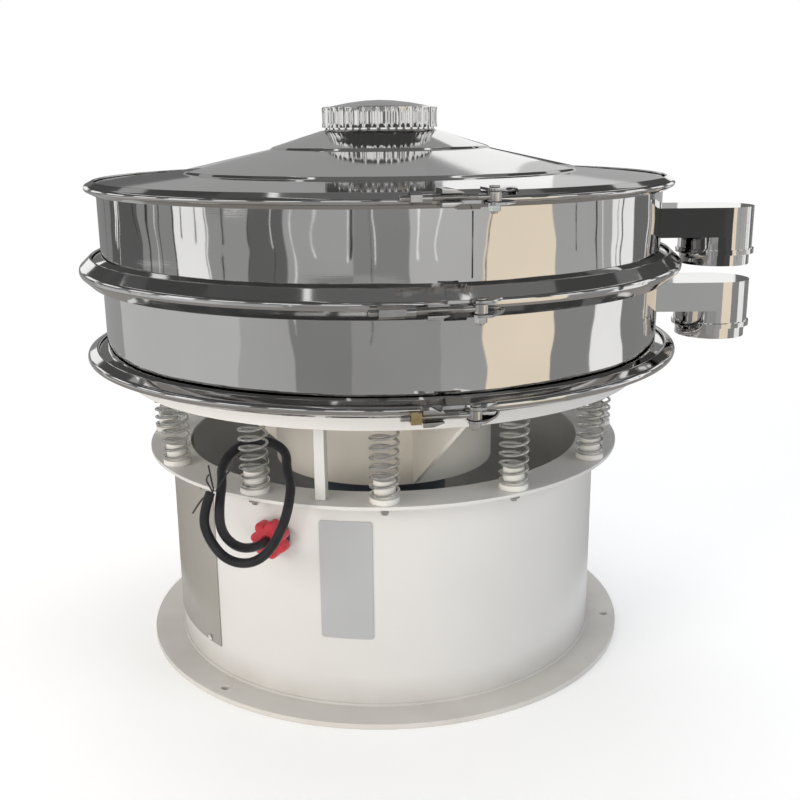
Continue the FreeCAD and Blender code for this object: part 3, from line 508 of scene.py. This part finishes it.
def even_shading(piece, angle=38.0):
    """Smooth faces that meet at shallow angles, and keep broad faces flat."""
    mesh = piece.data
    bm = bmesh.new()
    bm.from_mesh(mesh)
    for face in bm.faces:
        face.smooth = True
    for edge in bm.edges:
        edge.smooth = len(edge.link_faces) == 2 and edge.calc_face_angle(0) < math.radians(angle)
    bm.to_mesh(mesh)
    bm.free()
    weighted = piece.modifiers.new("even_shading", "WEIGHTED_NORMAL")
    weighted.keep_sharp = True


def softened(node, width, segments=2):
    """A CAD node's shape with its edges rounded over; it stands for the node."""
    bm = bmesh.new()
    bm.from_mesh(frame["nodes"][node].data)
    bmesh.ops.remove_doubles(bm, verts=bm.verts, dist=1e-6)
    bmesh.ops.dissolve_limit(bm, angle_limit=math.radians(0.6), verts=bm.verts, edges=bm.edges)
    sharp = [e for e in bm.edges if len(e.link_faces) == 2 and e.calc_face_angle(0) > math.radians(32)]
    bmesh.ops.bevel(bm, geom=sharp, offset=width, offset_type="OFFSET", segments=segments, profile=0.5,
                    affect="EDGES", clamp_overlap=True)
    piece = finish_mesh(bm, node + "_soft", finish_of(node))
    even_shading(piece)
    return stand_for(piece, node)


# ---- springs -------------------------------------------------------------------------------------
WIRE_R = 0.0020
SPRING_TURNS = 9.6
CLOSED_TURNS = 0.8
SPRING_STEPS = 40
SPRING_R = 0.0195
SPRING_START = 2.2
# how steep the closed end turns start, with 1 for the turns between
END_RISE = 0.42


def spring_line(centre, low, high, radius):
    """A coil whose end turns lie flat: the rise is slow there and even between."""
    points = []
    count = int(SPRING_TURNS * SPRING_STEPS)
    rises = []
    for i in range(count + 1):
        turn = i / SPRING_STEPS
        edge = min(turn, SPRING_TURNS - turn)
        rises.append(END_RISE + (1 - END_RISE) * min(1.0, edge / CLOSED_TURNS))
    total = sum(rises[:-1])
    height = 0.0
    for i in range(count + 1):
        a = 2 * math.pi * i / SPRING_STEPS + SPRING_START
        points.append(centre + Vector((radius * math.cos(a), radius * math.sin(a), low + height)))
        height += (high - low) * rises[i] / total
    return points


def make_springs():
    """All the coil springs in one piece, stretched between the base and the vibrating frame."""
    low = SPRING_BOX[0].z + WIRE_R
    high = SPRING_BOX[1].z - WIRE_R
    mean = SPRING_R - WIRE_R
    whole = bmesh.new()
    for i in range(SPRING_COUNT):
        centre = polar(SPRING_PITCH_R, 360.0 * i / SPRING_COUNT)
        part = tube_along(spring_line(centre, low, high, mean), WIRE_R, 10)
        mesh = bpy.data.meshes.new("one_spring")
        part.to_mesh(mesh)
        part.free()
        whole.from_mesh(mesh)
        bpy.data.meshes.remove(mesh)
    piece = finish_mesh(whole, "coil_springs", ZINC)
    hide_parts("springs")
    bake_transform(piece)


# ---- supply cable --------------------------------------------------------------------------------
CABLE_R = 0.006
GLAND_Z = 0.241
GLAND_AZ = -26.0
# out from the barrel, azimuth, up from the gland
CABLE_ROUTE = [
    (0.0270, -26.0, 0.0), (0.0514, -26.0, 0.0), (0.0765, -27.8, 0.008), (0.0917, -29.4, 0.033),
    (0.0861, -30.0, 0.065), (0.0624, -31.9, 0.084), (0.0391, -35.4, 0.094), (0.0132, -36.3, 0.108),
    (-0.0118, -33.9, 0.117), (-0.0230, -29.0, 0.116), (-0.0109, -23.8, 0.109), (0.0189, -21.2, 0.098),
    (0.0406, -18.5, 0.086), (0.0608, -18.1, 0.060), (0.0707, -18.8, 0.039), (0.0802, -20.9, 0.009),
    (0.0898, -24.2, -0.005), (0.0954, -28.3, -0.001), (0.0975, -31.3, 0.022), (0.0975, -32.6, 0.050),
    (0.0903, -31.3, 0.080)]
CORE_R = 0.0011
# the bare cores that spread from the cut end of the cable, in millimetres
CORES = [[(-208, -346, 322), (-211, -345, 339), (-214, -340, 354)],
         [(-209, -348, 322), (-216, -346, 334), (-216, -348, 340), (-212, -354, 346)],
         [(-210, -348, 321), (-219, -347, 317), (-228, -345, 306), (-236, -343, 293)],
         [(-206, -346, 322), (-195, -345, 339), (-186, -343, 351), (-180, -342, 363)]]


def smooth_line(name, points, radius, material):
    """A round wire along a smooth line of control points."""
    curve = bpy.data.curves.new(name + "_line", "CURVE")
    curve.dimensions = "3D"
    spline = curve.splines.new("NURBS")
    spline.points.add(len(points) - 1)
    for point, place in zip(spline.points, points):
        point.co = (*place, 1)
    spline.order_u = 3
    spline.use_endpoint_u = True
    spline.resolution_u = 12
    curve.bevel_depth = radius
    curve.bevel_resolution = 6
    curve.use_fill_caps = True
    piece = bpy.data.objects.new(name, curve)
    bpy.context.collection.objects.link(piece)
    curve.materials.append(material)
    return piece


def make_cable():
    """The loose cable from the gland, and the bare cores at its end."""
    for i, points in enumerate(CORES):
        core = smooth_line("cable_core_%d" % (i + 1), [Vector(p) * MM for p in points], CORE_R, CORE)
        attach(core, "base")
    route = [polar(BARREL_R + out, azimuth, GLAND_Z + rise) for out, azimuth, rise in CABLE_ROUTE]
    piece = smooth_line("rubber_cable", route, CABLE_R, RUBBER)
    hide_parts("supply_cable")
    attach(piece, "base")


# ---- gland knob ----------------------------------------------------------------------------------
KNOB_LOBES = 7
KNOB_R = 0.026
KNOB_VALLEY = 0.0075
# inset from the knob's outside and distance along its axis
KNOB_PROFILE = [(0.0040, 0.0), (0.0014, 0.0006), (0.0003, 0.0022), (0.0, 0.0045), (0.0, 0.0150),
                (0.0005, 0.0172), (0.0018, 0.0190), (0.0042, 0.0200)]
# radius and distance along the axis of the ring round the cable
KNOB_HUB = [(0.0125, 0.0197), (0.0112, 0.0188), (0.0098, 0.0200), (0.0086, 0.0200), (0.0062, 0.0170)]


def make_knob():
    """The lobed nut on the cable gland, rounded at both ends, with a ring round the cable."""
    bm = bmesh.new()
    sides = KNOB_LOBES * 24
    out = polar(1.0, GLAND_AZ)
    across = Vector((out.y, -out.x, 0))
    origin = polar(BARREL_R + 0.007, GLAND_AZ, GLAND_Z)

    def ring_of(radius_at, depth):
        ring = []
        for i in range(sides):
            a = 2 * math.pi * i / sides
            r = radius_at(a)
            ring.append(bm.verts.new(origin + out * depth + across * (r * math.cos(a))
                                     + Vector((0, 0, r * math.sin(a)))))
        return ring

    def lobed(inset):
        return lambda a: KNOB_R - inset - KNOB_VALLEY * (1 - (0.5 + 0.5 * math.cos(KNOB_LOBES * a)) ** 0.55)

    rings = [ring_of(lobed(inset), depth) for inset, depth in KNOB_PROFILE]
    rings += [ring_of(lambda a, r=radius: r, depth) for radius, depth in KNOB_HUB]
    join_rings(bm, rings)
    stand_for(finish_mesh(bm, "gland_knob", RED), "gland_nut")


# ---- V-rings -------------------------------------------------------------------------------------
RING_T = 0.0025
RING_GAP = 0.010
LIP_CURL = 0.0012
# lips in from the nose, half height at the lips, half height of the nose, azimuth of the gap
RING_FORMS = {"lower_ring": (0.0130, 0.0100, 0.0041, 10.0),
              "middle_ring": (0.0155, 0.0181, 0.0041, 10.6),
              "top_ring": (0.0120, 0.0091, 0.0031, 13.1)}


def make_rings():
    """Rolled V-rings with a round nose and round lips, split at their clamps."""
    for node, (lip_in, lip_h, nose_h, azimuth) in RING_FORMS.items():
        low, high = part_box(node)
        middle = (low.z + high.z) / 2
        nose = high.y - RING_T / 2
        lip = high.y - lip_in
        rise = lip_h - RING_T / 2
        line = [(lip - LIP_CURL, middle - rise), (lip, middle - rise), (nose, middle - nose_h + 0.0008),
                (nose, middle + nose_h - 0.0008), (lip, middle + rise), (lip - LIP_CURL, middle + rise)]
        line = rounded(line, [0, 0.002, 0.0052, 0.0052, 0.002, 0], 8, closed=False)
        half = math.degrees(RING_GAP / 2 / high.y)
        piece = turned_piece(node + "_rolled", ribbon(line, RING_T), RING_STEEL, 300, azimuth + half,
                             360.0 - 2 * half)
        stand_for(piece, node)


# ---- lid and cap ---------------------------------------------------------------------------------
LID_T = 0.002
# radius and height over the joint, from the rim to the foot of the neck
LID_LEVELS = [(0.398, 0.0075), (0.283, 0.017), (0.2785, 0.0205), (0.158, 0.047), (0.1535, 0.0505),
              (0.083, 0.072), (0.078, 0.072)]
CAP_R = 0.0825
CAP_WRINKLE = 0.00045


def make_lid():
    """The pressed lid with soft steps."""
    line = [(r, LID_Z + h - LID_T / 2) for r, h in LID_LEVELS]
    line = rounded(line, [0, 0.005, 0.004, 0.005, 0.004, 0.004, 0], 6, closed=False)
    stand_for(turned_piece("lid_pressed", ribbon(line, LID_T), LID_STEEL, 300), "lid")


def make_cap():
    """The pressed cap: a wrinkled side, a rounded edge, a groove inside it and a low crown."""
    low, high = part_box("inlet_cap")
    rim = low.z + 0.028
    side = [(CAP_R, low.z + 0.0262 * i / 8 + 0.0002) for i in range(9)]
    outline = [(CAP_R - 0.0041, low.z)] + side
    crown = [(CAP_R, rim - 0.0004), (CAP_R - 0.0035, rim + 0.0009), (CAP_R - 0.0070, rim - 0.0016),
             (CAP_R - 0.0105, rim + 0.0010), (0.045, rim + 0.0062), (0.020, rim + 0.0092)]
    outline += rounded(crown, [0.001, 0.0016, 0.0016, 0.003, 0.02, 0.02], 4, closed=False)
    outline += [(0.0004, high.z), (0.0004, high.z - 0.004), (CAP_R - 0.0076, rim - 0.008),
                (CAP_R - 0.0041, rim - 0.008)]
    weights = []
    for r, z in outline:
        share = (z - low.z) / (rim - low.z)
        weights.append(min(1.0, 6 * share, max(0.0, 7 * (0.96 - share))) if r > CAP_R - 0.001 else 0.0)

    def wrinkles(azimuth, j):
        a = math.radians(azimuth)
        wave = 0.55 * math.sin(53 * a) + 0.30 * math.sin(79 * a + 1.3) + 0.25 * math.sin(31 * a + 0.4)
        return -CAP_WRINKLE * weights[j] * (1 + wave)

    stand_for(turned_piece("cap_pressed", outline, LID_STEEL, 900, ripple=wrinkles), "inlet_cap")


# ---- beads, seam and plate -----------------------------------------------------------------------
SEAM_AZ = 14.7


def round_bead(radius, centre_r, z, points=12):
    """The outline of a bead: a circle at this radius and height."""
    return [(centre_r + radius * math.cos(2 * math.pi * i / points),
             z + radius * math.sin(2 * math.pi * i / points)) for i in range(points)]


def make_beads():
    """Weld beads at the foot of the barrel and of the neck, and the upper frame's seam."""
    def uneven(azimuth, _):
        a = math.radians(azimuth)
        return 0.0002 * math.sin(150 * a) + 0.0002 * math.sin(67 * a + 2)

    foot = turned_piece("barrel_foot_bead", round_bead(0.0028, BARREL_R, 0.0085), OFF_WHITE, 720,
                        ripple=uneven)
    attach(foot, "base")
    neck = turned_piece("neck_bead", round_bead(0.0012, 0.0785, LID_Z + 0.0725), LID_STEEL, 360)
    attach(neck, BODY_OF["inlet_neck"])
    line = [polar(FRAME_R, SEAM_AZ, z) for z in (UPPER_Z + 0.014, LID_Z - 0.012)]
    seam = finish_mesh(tube_along(line, 0.0009, 12), "upper_frame_seam", WELD)
    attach(seam, BODY_OF["upper_frame"])


PLATE_AZ = (-15.4, -2.9)
PLATE_Z = (0.105, 0.268)
PLATE_CORNER = 0.004
PLATE_T = 0.0009
CORNER_STEPS = 6
PLATE_ROWS = 12
PLATE_COLUMNS = 24


def make_plate():
    """The bare plate on the front of the barrel, bent to it, with round corners."""
    rows = []
    height = PLATE_Z[1] - PLATE_Z[0]
    half = math.radians(PLATE_AZ[1] - PLATE_AZ[0]) / 2 * BARREL_R
    middle = sum(PLATE_AZ) / 2
    levels = [PLATE_CORNER * (1 - math.cos(math.pi / 2 * i / CORNER_STEPS)) for i in range(CORNER_STEPS + 1)]
    levels += [height * i / PLATE_ROWS for i in range(1, PLATE_ROWS)]
    levels += [height - d for d in levels[CORNER_STEPS::-1]]
    bm = bmesh.new()
    for level in levels:
        d = min(level, height - level)
        c = PLATE_CORNER
        short = c - math.sqrt(max(0.0, c * c - (c - d) ** 2)) if d < c else 0.0
        width = half - short
        row = []
        for i in range(PLATE_COLUMNS + 1):
            azimuth = middle + math.degrees((width * (2 * i / PLATE_COLUMNS - 1)) / BARREL_R)
            row.append(bm.verts.new(polar(BARREL_R + 0.0002, azimuth, PLATE_Z[0] + level)))
        rows.append(row)
    for low, high in zip(rows, rows[1:]):
        for i in range(PLATE_COLUMNS):
            bm.faces.new((low[i], low[i + 1], high[i + 1], high[i]))
    plate = finish_mesh(bm, "bare_plate", PLATE_GREY)
    thick = plate.modifiers.new("thickness", "SOLIDIFY")
    thick.thickness = PLATE_T
    thick.offset = 1.0
    edge = plate.modifiers.new("edge", "BEVEL")
    edge.width = 0.0003
    edge.segments = 2
    edge.limit_method = "ANGLE"
    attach(plate, "base")


# ---- clamp bolts ---------------------------------------------------------------------------------
BOLT_R = 0.004
BOLT_PITCH = 0.00125
THREAD_DEPTH = 0.00056
BOLT_SIDES = 18
EYE_SIDES = 40
PIN_X = 0.0275
PLAIN_SHANK = 0.020
EYE_OUTLINE = rounded([(0.0041, -0.006), (0.008, -0.006), (0.008, 0.006), (0.0041, 0.006)],
                      [0.0005, 0.0014, 0.0014, 0.0005], 4)
# azimuth, radius and height of the bolt, and its length from the pin
BOLTS = {"top_swing_bolt": (13.1, 0.425, 0.677, 0.1065),
         "middle_swing_bolt": (10.6, 0.4395, 0.558, 0.1255),
         "lower_swing_bolt": (10.0, 0.437, 0.43755, 0.086)}


def make_bolt(node, azimuth, radius, z, length):
    """An eye bolt with a cut thread; its eye is round the clamp's pin."""
    along = Vector((math.cos(math.radians(azimuth)), math.sin(math.radians(azimuth)), 0))
    out = polar(1.0, azimuth)
    up = Vector((0, 0, 1))
    pin = polar(radius, azimuth, z) + along * PIN_X
    bm = bmesh.new()
    rings = []
    steps = int(length / (BOLT_PITCH / 5))
    for i in range(steps + 1):
        x = length * (1 - i / steps)
        chamfer = 0.0009 * max(0.0, 1 - (length - x) / 0.0012)
        ring = []
        for j in range(BOLT_SIDES):
            a = 2 * math.pi * j / BOLT_SIDES
            wave = 1 + math.cos(2 * math.pi * x / BOLT_PITCH - a)
            cut = THREAD_DEPTH / 2 * wave if x > PLAIN_SHANK else 0.0
            r = BOLT_R - cut - chamfer
            ring.append(bm.verts.new(pin - along * x + out * (r * math.cos(a)) + up * (r * math.sin(a))))
        rings.append(ring)
    join_rings(bm, rings)
    eye = []
    for i in range(EYE_SIDES):
        a = 2 * math.pi * i / EYE_SIDES
        turn = along * math.cos(a) + out * math.sin(a)
        eye.append([bm.verts.new(pin + turn * r + up * h) for r, h in EYE_OUTLINE])
    join_rings(bm, eye, whole=True)
    piece = finish_mesh(bm, node + "_cut", HARDWARE)
    even_shading(piece, 50.0)
    stand_for(piece, node)


# how far each node's edges are rounded
SOFT_EDGES = {"foot_flange": 0.0015, "base_top_flange": 0.0010, "access_cover": 0.0007,
              "cover_screws": 0.0010, "seat_nuts": 0.0008, "spring_seats_lower": 0.0014,
              "spring_seats_upper": 0.0014, "limit_posts": 0.0014, "gussets": 0.0010, "table": 0.0014,
              "lid_rim": 0.0009, "inlet_neck": 0.0006, "upper_outlet": 0.0016, "lower_outlet": 0.0016,
              "top_saddle": 0.0010, "middle_saddle": 0.0010, "lower_saddle": 0.0010, "top_fork": 0.0008,
              "middle_fork": 0.0008, "lower_fork": 0.0008, "top_pin": 0.0007, "middle_pin": 0.0007,
              "lower_pin": 0.0007, "top_nut": 0.0009, "middle_nut": 0.0009, "lower_nut": 0.0009,
              "pin_nuts": 0.0008, "top_bridge": 0.0006, "middle_bridge": 0.0006, "lower_bridge": 0.0006}


# ---- floor and background ------------------------------------------------------------------------
def seen_rays(tree):
    """1 for rays from the camera, a mirror or glass, 0 for the light that falls on surfaces."""
    path = tree.nodes.new("ShaderNodeLightPath")
    both = maths(tree, "ADD", path.outputs["Is Camera Ray"], path.outputs["Is Glossy Ray"])
    return maths(tree, "ADD", both, path.outputs["Is Transmission Ray"], clamp=True)


FLOOR_NEAR = 0.75
FLOOR_FAR = 1.9
FLOOR_GLOW = 0.22
FLOOR_HALF = 60.0


def make_floor():
    """A pale floor that keeps the machine's shadow near it and runs out into plain white."""
    mesh = bpy.data.meshes.new("floor")
    corners = [(x * FLOOR_HALF, y * FLOOR_HALF, 0) for x, y in ((-1, -1), (1, -1), (1, 1), (-1, 1))]
    mesh.from_pydata(corners, [], [(0, 1, 2, 3)])
    material, tree, shader = new_material("floor_white")
    shader.inputs["Base Color"].default_value = (0.93, 0.93, 0.93, 1)
    shader.inputs["Roughness"].default_value = 0.8
    shader.inputs["Emission Color"].default_value = (1, 1, 1, 1)
    seen = seen_rays(tree)
    feed(tree, shader.inputs["Emission Strength"], maths(tree, "MULTIPLY", seen, FLOOR_GLOW))
    spread = tree.nodes.new("ShaderNodeMapRange")
    spread.interpolation_type = "SMOOTHSTEP"
    spread.inputs["From Min"].default_value = FLOOR_NEAR
    spread.inputs["From Max"].default_value = FLOOR_FAR
    feed(tree, spread.inputs["Value"], vector_maths(tree, "LENGTH", place_in(tree)))
    white = tree.nodes.new("ShaderNodeEmission")
    mix = tree.nodes.new("ShaderNodeMixShader")
    feed(tree, mix.inputs[0], maths(tree, "MULTIPLY", spread.outputs["Result"], seen))
    feed(tree, mix.inputs[1], shader.outputs["BSDF"])
    feed(tree, mix.inputs[2], white.outputs["Emission"])
    feed(tree, tree.nodes["Material Output"].inputs["Surface"], mix.outputs["Shader"])
    link_mesh("floor", mesh, material)


SKY_LIGHT = 0.42


def make_world():
    """White to look at and in mirrors, and softer as the light that it gives."""
    world = bpy.data.worlds.new("studio")
    bpy.context.scene.world = world
    world.use_nodes = True
    tree = world.node_tree
    soft = tree.nodes["Background"]
    soft.inputs["Color"].default_value = (0.96, 0.98, 1.0, 1)
    soft.inputs["Strength"].default_value = SKY_LIGHT
    white = tree.nodes.new("ShaderNodeBackground")
    white.inputs["Color"].default_value = (1, 1, 1, 1)
    mix = tree.nodes.new("ShaderNodeMixShader")
    feed(tree, mix.inputs[0], seen_rays(tree))
    feed(tree, mix.inputs[1], soft.outputs["Background"])
    feed(tree, mix.inputs[2], white.outputs["Background"])
    feed(tree, tree.nodes["World Output"].inputs["Surface"], mix.outputs["Shader"])


# ---- the room that mirrors see -------------------------------------------------------------------
WALL_R = 1.7
WALL_AZ = 150
BENCH_H = 0.36
WALL_H = 0.62
RAIL_H = 0.92
CREAM = (226, 208, 180)
# the wall's panels, each from its azimuth to the next one's: a tone, or a gap where the white
# background shows
HIGH_PANELS = [(-150, 120), (-120, 84), (-95, 128), (-75, None), (-60, 140), (-45, 92), (-30, 150),
               (-10, 124), (10, 172), (35, CREAM), (60, 156), (90, None), (105, 100), (125, 150),
               (150, None)]
LOW_PANELS = [(-150, 140), (-115, 172), (-50, 156), (-30, 122), (-10, 138), (20, 150), (35, CREAM),
              (60, 128), (80, None), (100, 122), (150, None)]
# a row of pale sheets over the panels, with a dark one after each pair
SHEET_TURN = 6
PALE_SHEET = (238, 232, 222)
DARK_SHEET = 96
# foot and tone of each band above: dark wall, open windows, dark wall
BANDS = [(RAIL_H, 66), (1.42, None), (1.72, 62), (2.6, None)]
BAY_TURN = 30
POST_TURN = 3
POST_TONE = 70
# the low wall on the far side, in steps of 10 degrees
FAR_TONES = (150, 70, 190, 110, 160, 90)
# low x, high x, low z, high z and tone of the high wall behind, round one window
BACK_Y = 2.3
BACK_PANELS = [(-3.0, 0.24, 0.9, 2.8, 140), (0.24, 0.66, 1.85, 2.8, 136), (0.66, 3.0, 0.9, 2.8, 184)]
# low x, high x and tone of each ceiling strip
CEILING = [(-3.2, -0.70, 74), (-0.63, 0.70, 92), (0.80, 3.2, 102)]
CEILING_H = 2.6
CEILING_HALF = 3.2
# low x, high x and tone of the dark cards beside the upper outlet
OUTLET_CARDS = [(0.455, 0.575, 58), (0.575, 0.695, 66)]
OUTLET_CARD_Y = -0.30
FLOOR_RING_R = 0.44
FLOOR_RING_H = 0.004
FLOOR_RING_TONE = (132, 126, 120)
MIRROR = 0.76
TINT = 0.72
ROOM_LINES = 34


def card_colour(tone):
    """The light of a card that polished steel shows as the tone, which is a grey level or a colour."""
    levels = tone if isinstance(tone, tuple) else (tone, tone, tone)
    lights = [((v / 255 + 0.055) / 1.055) ** 2.4 / MIRROR for v in levels]
    grey = sum(lights) / 3
    return [min(1.0, grey + (v - grey) * TINT) for v in lights] + [1.0]


def wall_cards(start, end, low, high, tone):
    """Cards of one tone along the round wall."""
    steps = max(1, int((end - start) / SHEET_TURN))
    edges = [start + (end - start) * i / steps for i in range(steps + 1)]
    return [([polar(WALL_R, a, low), polar(WALL_R, b, low), polar(WALL_R, b, high),
              polar(WALL_R, a, high)], tone) for a, b in zip(edges, edges[1:])]


def upright_card(x0, x1, y, z0, z1, tone):
    return [Vector((x0, y, z0)), Vector((x1, y, z0)), Vector((x1, y, z1)), Vector((x0, y, z1))], tone


def line_cards():
    """Thin dark and bright lines in front of the upper panels."""
    cards = []
    for _ in range(ROOM_LINES):
        start = DRAW.uniform(-128, 128)
        width = DRAW.uniform(0.25, 0.9)
        low = DRAW.uniform(0.30, 0.48)
        tone = 52 if DRAW.random() < 0.6 else 225
        slant = DRAW.uniform(-1, 1)
        cards.append(([polar(WALL_R - 0.02, start + a, z) for a, z in
                       ((0, low), (width, low), (width + slant, WALL_H), (0, WALL_H))], tone))
    return cards


def room_cards():
    """Corners and tone of every card of the room."""
    cards = line_cards()
    for x0, x1, tone in OUTLET_CARDS:
        cards.append(upright_card(x0, x1, OUTLET_CARD_Y, 0.50, 0.68, tone))
    for a in range(0, 360, 10):
        cards.append(([polar(r, a + turn, FLOOR_RING_H) for r, turn in
                       ((FLOOR_RING_R, 0), (FLOOR_RING_R, 10), (WALL_R, 10), (WALL_R, 0))],
                      FLOOR_RING_TONE))
    for panels, low, high in ((HIGH_PANELS, BENCH_H, WALL_H), (LOW_PANELS, 0.0, BENCH_H)):
        for (start, tone), (end, _) in zip(panels, panels[1:]):
            cards += wall_cards(start, end, low, high, tone)
    for i, start in enumerate(range(-WALL_AZ, WALL_AZ, SHEET_TURN)):
        cards += wall_cards(start, start + SHEET_TURN, WALL_H, RAIL_H, PALE_SHEET if i % 3 else DARK_SHEET)
    for (low, tone), (high, _) in zip(BANDS, BANDS[1:]):
        for start in range(-WALL_AZ, WALL_AZ, BAY_TURN):
            end = start + BAY_TURN
            cards += wall_cards(start, end - POST_TURN, low, high, tone)
            cards += wall_cards(end - POST_TURN, end, low, high, POST_TONE)
    for i, tone in enumerate(FAR_TONES):
        cards += wall_cards(WALL_AZ + 10 * i, WALL_AZ + 10 * i + 10, 0.0, 0.9, tone)
    for x0, x1, z0, z1, tone in BACK_PANELS:
        cards.append(upright_card(x0, x1, BACK_Y, z0, z1, tone))
    for x0, x1, tone in CEILING:
        cards.append(([Vector((x, y * CEILING_HALF, CEILING_H)) for x, y in
                       ((x0, -1), (x1, -1), (x1, 1), (x0, 1))], tone))
    return [(corners, tone) for corners, tone in cards if tone is not None]


def make_room():
    """The walls and roof that the polished steel mirrors; only mirrors see them."""
    cards = room_cards()
    mesh = bpy.data.meshes.new("room")
    mesh.from_pydata([p for corners, _ in cards for p in corners], [],
                     [tuple(range(4 * i, 4 * i + 4)) for i in range(len(cards))])
    layer = mesh.color_attributes.new("tone", "FLOAT_COLOR", "CORNER")
    for i, (_, tone) in enumerate(cards):
        for k in range(4):
            layer.data[4 * i + k].color = card_colour(tone)
    material = bpy.data.materials.new("room_cards")
    material.use_nodes = True
    tree = material.node_tree
    tree.nodes.clear()
    output = tree.nodes.new("ShaderNodeOutputMaterial")
    light = tree.nodes.new("ShaderNodeEmission")
    shade = tree.nodes.new("ShaderNodeAttribute")
    shade.attribute_name = "tone"
    feed(tree, light.inputs["Color"], shade.outputs["Color"])
    feed(tree, output.inputs["Surface"], light.outputs["Emission"])
    room = link_mesh("room", mesh, material)
    room.visible_camera = False
    room.visible_diffuse = False
    room.visible_transmission = False
    room.visible_volume_scatter = False
    room.visible_shadow = False


# ---- lights --------------------------------------------------------------------------------------
def area_light(name, place, target, size, power, colour=(1, 1, 1)):
    """A soft lamp that mirrors don't see."""
    data = bpy.data.lights.new(name, "AREA")
    data.shape = "RECTANGLE"
    data.size = size[0]
    data.size_y = size[1]
    data.energy = power
    data.color = colour
    lamp = bpy.data.objects.new(name, data)
    bpy.context.collection.objects.link(lamp)
    lamp.location = place
    aim = Vector(target) - Vector(place)
    lamp.rotation_euler = aim.to_track_quat("-Z", "Y").to_euler()
    lamp.visible_glossy = False


def make_lights():
    area_light("key", (-2.6, -2.3, 1.5), (0, 0, 0.35), (1.8, 1.4), 50, (1.0, 0.94, 0.86))
    area_light("front", (-0.5, -3.1, 0.62), (0, 0, 0.36), (1.6, 0.7), 24, (1.0, 0.95, 0.88))
    area_light("fill", (2.9, -1.4, 1.6), (0, 0, 0.35), (1.6, 1.8), 22, (0.85, 0.92, 1.0))
    area_light("top", (0.2, 0.8, 3.2), (0, 0, 0.6), (2.4, 2.4), 30)
    area_light("back", (-0.6, 3.4, 1.8), (0, 0, 0.4), (2.4, 1.6), 34)


# ---- the scene -----------------------------------------------------------------------------------
make_camera()
make_cable()
dress_nodes()
make_springs()
make_knob()
make_rings()
make_lid()
make_cap()
make_beads()
make_plate()
for node, place in BOLTS.items():
    make_bolt(node, *place)
for node, width in SOFT_EDGES.items():
    softened(node, width)
make_floor()
make_world()
make_room()
make_lights()
bpy.context.scene.view_settings.view_transform = "Standard"
